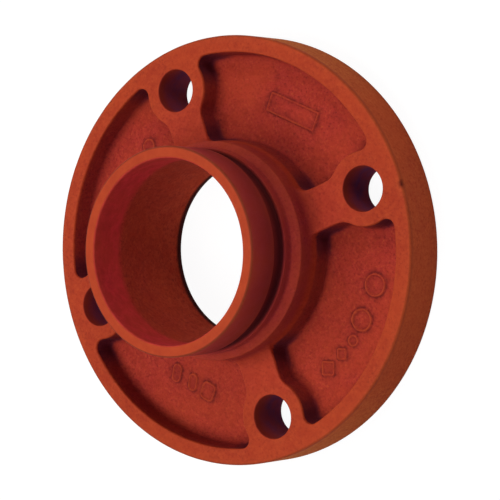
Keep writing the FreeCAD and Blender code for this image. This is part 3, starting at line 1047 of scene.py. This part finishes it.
# Relief, from plain faces to the pockets, its strength, from cast to turned faces, and the shine
GRAIN_RELIEF = (0.4, 1.0)
FINE_RELIEF = (0.2, 0.45)
BUMP_STRENGTH = (0.9, 0.35)
BUMP_DISTANCE = 0.28 * MM
ROUGHNESS_RANGE = (0.3, 0.7)
ROUGHNESS = (0.52, 0.64)
TUCKED_ROUGHNESS = 0.25
SIDE_ROUGHNESS = 0.45
SHINE = 0.04
SHINE_TINT = (1.0, 0.75, 0.5, 1)

paint = bpy.data.materials.new("painted_iron_skin")
nodes = Nodes(paint)
place = nodes.add("ShaderNodeTexCoord").outputs["Object"]
pocket = nodes.attribute("pocket")
bore = nodes.attribute("bore")
hole = nodes.attribute("hole")
side = nodes.attribute("side")
machined_share = nodes.attribute("machined")
broad = nodes.noise(place, *BROAD_NOISE)
mottle = nodes.noise(place, *MOTTLE_NOISE)
patches = nodes.noise(place, *PATCH_NOISE)
grain = nodes.noise(place, *GRAIN_NOISE)
fine_grain = nodes.noise(place, *FINE_NOISE)

# Paint of each zone, with the bore and the holes changing with depth, the holes' darkening being painted
# shade
bore_depth = nodes.attribute("bore_depth")
hole_depth = nodes.attribute("hole_depth")
bore_deep = nodes.blend(nodes.ranged(bore_depth, *BORE_FAR_RANGE), BORE_DEEP, BORE_FAR)
zone_paints = {
    "pocket": POCKET_PAINT,
    # The neck, partly its own coat and partly painted shade
    "neck": NECK_PAINT_AND_SHADE,
    # Painted light on the flare
    "flare": FLARE_LIGHT_PAINT,
    # The bore, lighter than the face as painted light
    "bore": nodes.blend(nodes.ranged(bore_depth, *BORE_DEEP_RANGE), BORE_PAINT_AND_LIGHT, bore_deep),
    # Bolt holes, darker with depth as painted shade
    "hole": nodes.blend(nodes.ranged(hole_depth, *HOLE_SHADE_RANGE), HOLE_PAINT, HOLE_SHADE_PAINT),
}
# The face's paint, lighter towards the hub as painted light, goes over to the rim's
colour = nodes.blend(nodes.attribute("warm"), FACE_PAINT_AND_LIGHT, RIM_PAINT)
for zone, zone_paint in zone_paints.items():
    colour = nodes.blend(nodes.attribute(zone), colour, zone_paint)

# Grain, stains and wear over it, with painted shade, painted shadow and a painted highlight, from the first
# to the last
grainy = nodes.math("MAXIMUM", pocket, bore)
rough_share = nodes.math("SUBTRACT", 1.0, nodes.times(machined_share, TURNED_SMOOTH))
speckle = nodes.times(rough_share, nodes.by_share(grainy, *SPECKLE))
stained = nodes.times(speckle, nodes.by_share(grainy, *STAIN_SHARE))
fleck = nodes.ranged(grain, *OLIVE_RANGE, *OLIVE_SHARE)
overlays = [
    (nodes.times(nodes.ranged(grain, *PIT_RANGE), nodes.times(speckle, PIT_SHARE)), PIT_AND_SHADE_PAINT),
    (nodes.times(nodes.ranged(grain, *CRUMB_RANGE), nodes.times(speckle, CRUMB_SHARE)), EDGE_PAINT),
    (nodes.times(nodes.ranged(patches, *STAIN_RANGE), stained), STAIN_PAINT),
    (nodes.ranged(mottle, *MOTTLE_RANGE, *MOTTLE_SHARE), MOTTLE_PAINT),
    (nodes.ranged(broad, *BROAD_RANGE, *BROAD_SHARE), BROAD_PAINT),
    # Painted shadow in the groove and painted shade on the pipe end beside it
    (nodes.attribute("groove"), GROOVE_SHADOW_PAINT),
    (nodes.times(nodes.attribute("edge"), EDGE_SHARE), EDGE_PAINT),
    # Painted shade in hollows, stronger in the pockets
    (nodes.times(nodes.attribute("hollow_shade"), nodes.by_share(pocket, *HOLLOW_SHADE_SHARE)), PIT_AND_SHADE_PAINT),
    # Painted shade on the pocket walls and in their corners
    (nodes.times(nodes.attribute("wall"), WALL_SHADE_SHARE), WALL_SHADE_PAINT),
    (nodes.times(nodes.attribute("corner"), CORNER_SHADE_SHARE), WALL_SHADE_PAINT),
    # Painted shade at the feet of the raised marks, uneven by a noise
    (nodes.times(nodes.attribute("foot"), nodes.ranged(patches, *FOOT_RANGE, *FOOT_SHADE_SHARE)), PIT_AND_SHADE_PAINT),
    # Painted shade on the rounded edges
    (nodes.times(nodes.attribute("rounding_shade"), ROUNDING_SHADE_SHARE), ROUNDING_SHADE_PAINT),
    # Olive flecks on the side, partly a painted highlight
    (nodes.times(nodes.attribute("side_olive_highlight"), fleck), SIDE_OLIVE_AND_HIGHLIGHT),
    # Painted shade at the far end of the bore
    (nodes.times(nodes.attribute("bore_end_shade"), BORE_END_SHADE_SHARE), BORE_END_SHADE),
    (nodes.math("MULTIPLY", nodes.attribute("knock"), KNOCK_SHARE, True), KNOCK_PAINT),
]
for share, overlay in overlays:
    colour = nodes.blend(share, colour, overlay)

coarse_relief = nodes.times(grain, nodes.by_share(pocket, *GRAIN_RELIEF))
fine_relief = nodes.times(fine_grain, nodes.by_share(pocket, *FINE_RELIEF))
relief = nodes.math("ADD", coarse_relief, fine_relief)
bump_strength = nodes.by_share(machined_share, *BUMP_STRENGTH)
bump = nodes.add("ShaderNodeBump", Height=relief, Distance=BUMP_DISTANCE, Strength=bump_strength)
tucked = nodes.times(nodes.math("MAXIMUM", hole, bore), TUCKED_ROUGHNESS)
rougher = nodes.math("MAXIMUM", tucked, nodes.times(side, SIDE_ROUGHNESS))
roughness = nodes.math("ADD", nodes.ranged(mottle, *ROUGHNESS_RANGE, *ROUGHNESS), rougher)
shader = nodes.add("ShaderNodeBsdfPrincipled", Base_Color=colour, Normal=bump.outputs[0])
nodes.feed(shader.inputs["Roughness"], roughness)
shader.inputs["Specular Tint"].default_value = SHINE_TINT
shader.inputs["Specular IOR Level"].default_value = SHINE
nodes.add("ShaderNodeOutputMaterial", Surface=shader.outputs[0])
mesh.materials.append(paint)

# White surroundings, seen as white and shining back only a little
FLOOR_REACH = 3.0
FLOOR_DROP = 0.2 * MM
FLOOR_GLOW = 0.93
FLOOR_SHADE = (0.12, 0.12, 0.12, 1)
FLOOR_BOUNCE = (0.85, 0.85, 0.85, 1)
WHITE = (1, 1, 1, 1)
FILL_COLOUR = (0.6, 0.75, 1.0, 1)
FILL_STRENGTH = 0.04


def seen(nodes):
    """1 on rays that come straight from the camera, or by a mirror or glass, and 0 on others."""
    path = nodes.add("ShaderNodeLightPath")
    direct = nodes.math("MAXIMUM", path.outputs["Is Camera Ray"], path.outputs["Is Glossy Ray"])
    return nodes.math("MAXIMUM", direct, path.outputs["Is Transmission Ray"])


floor_mesh = bpy.data.meshes.new("floor")
floor_corners = [(FLOOR_REACH * x, FLOOR_REACH * y, 0) for x, y in ((-1, -1), (1, -1), (1, 1), (-1, 1))]
floor_mesh.from_pydata(floor_corners, [], [(0, 1, 2, 3)])
floor = bpy.data.objects.new("floor", floor_mesh)
scene.collection.objects.link(floor)
floor.location.z = -FLOOR_DROP

floor_paint = bpy.data.materials.new("floor_white")
floor_nodes = Nodes(floor_paint)
is_seen = seen(floor_nodes)
glow = floor_nodes.add("ShaderNodeEmission", Strength=floor_nodes.times(is_seen, FLOOR_GLOW))
matt = floor_nodes.add("ShaderNodeBsdfDiffuse", Color=floor_nodes.blend(is_seen, FLOOR_BOUNCE, FLOOR_SHADE))
both = floor_nodes.add("ShaderNodeAddShader")
floor_nodes.feed(both.inputs[0], glow.outputs[0])
floor_nodes.feed(both.inputs[1], matt.outputs[0])
floor_nodes.add("ShaderNodeOutputMaterial", Surface=both.outputs[0])
floor_mesh.materials.append(floor_paint)

world = bpy.data.worlds.new("surroundings")
scene.world = world
world_nodes = Nodes(world)
fill = world_nodes.add("ShaderNodeBackground", Color=FILL_COLOUR, Strength=FILL_STRENGTH)
white = world_nodes.add("ShaderNodeBackground", Color=WHITE, Strength=1.0)
either = world_nodes.add("ShaderNodeMixShader")
world_nodes.feed(either.inputs[0], seen(world_nodes))
world_nodes.feed(either.inputs[1], fill.outputs[0])
world_nodes.feed(either.inputs[2], white.outputs[0])
world_nodes.add("ShaderNodeOutputWorld", Surface=either.outputs[0])

# Camera, fitted to the photograph: along and above the axis, with the pipe end to the left in the picture
CAMERA_AIM = Vector((-0.22, -0.21, 0.20)) * MM
CAMERA_DISTANCE = 713.13 * MM
CAMERA_AZIMUTH = math.radians(26.511)
CAMERA_ELEVATION = math.radians(54.905)
AXIS_DROP = math.radians(1.415)
LENS = 113.81
SENSOR = 36
AXIS = Vector((0, 0, 1))

near = Vector((math.cos(CAMERA_AZIMUTH), math.sin(CAMERA_AZIMUTH), 0))
back = near * math.cos(CAMERA_ELEVATION) + AXIS * math.sin(CAMERA_ELEVATION)
along = (AXIS - back * AXIS.dot(back)).normalized()
right = back.cross(along) * math.sin(AXIS_DROP) - along * math.cos(AXIS_DROP)
camera = bpy.data.objects.new("camera", bpy.data.cameras.new("camera"))
scene.collection.objects.link(camera)
camera.data.lens = LENS
camera.data.sensor_width = SENSOR
camera.data.clip_start = 0.01
camera.data.clip_end = 100
camera.matrix_world = Matrix((right, back.cross(right), back)).transposed().to_4x4()
camera.location = CAMERA_AIM + back * CAMERA_DISTANCE
scene.camera = camera

# Square lamps: name, angle round the axis from the camera's side, height angle, size, power and colour
LAMP_DISTANCE = 1.2
WARM_LIGHT = (1.0, 0.98, 0.95)
COOL_LIGHT = (0.9, 0.95, 1.0)
LAMPS = [
    ("key_low", 272, 68, 0.45, 5.1, WARM_LIGHT),
    ("key_left", 180, 72, 0.45, 4.0, WARM_LIGHT),
    ("upper", 60, 40, 0.45, 3.4, WARM_LIGHT),
    ("upper_left", 120, 40, 0.45, 1.1, WARM_LIGHT),
    ("left", 180, 40, 0.45, 1.2, WARM_LIGHT),
    ("lower", 300, 40, 0.45, 0.6, WARM_LIGHT),
    ("high", 0, 78, 0.6, 1.6, COOL_LIGHT),
]
aside = AXIS.cross(near)
for name, plan_angle, height_angle, size, power, tint in LAMPS:
    plan, rise = math.radians(plan_angle), math.radians(height_angle)
    direction = (near * math.cos(plan) + aside * math.sin(plan)) * math.cos(rise) + AXIS * math.sin(rise)
    light = bpy.data.lights.new(name, "AREA")
    light.shape, light.size = "SQUARE", size
    light.energy, light.color = power, tint
    lamp = bpy.data.objects.new(name, light)
    scene.collection.objects.link(lamp)
    lamp.location = direction * LAMP_DISTANCE
    lamp.rotation_mode = "QUATERNION"
    lamp.rotation_quaternion = direction.to_track_quat("Z", "Y")

scene.view_settings.view_transform = "Standard"
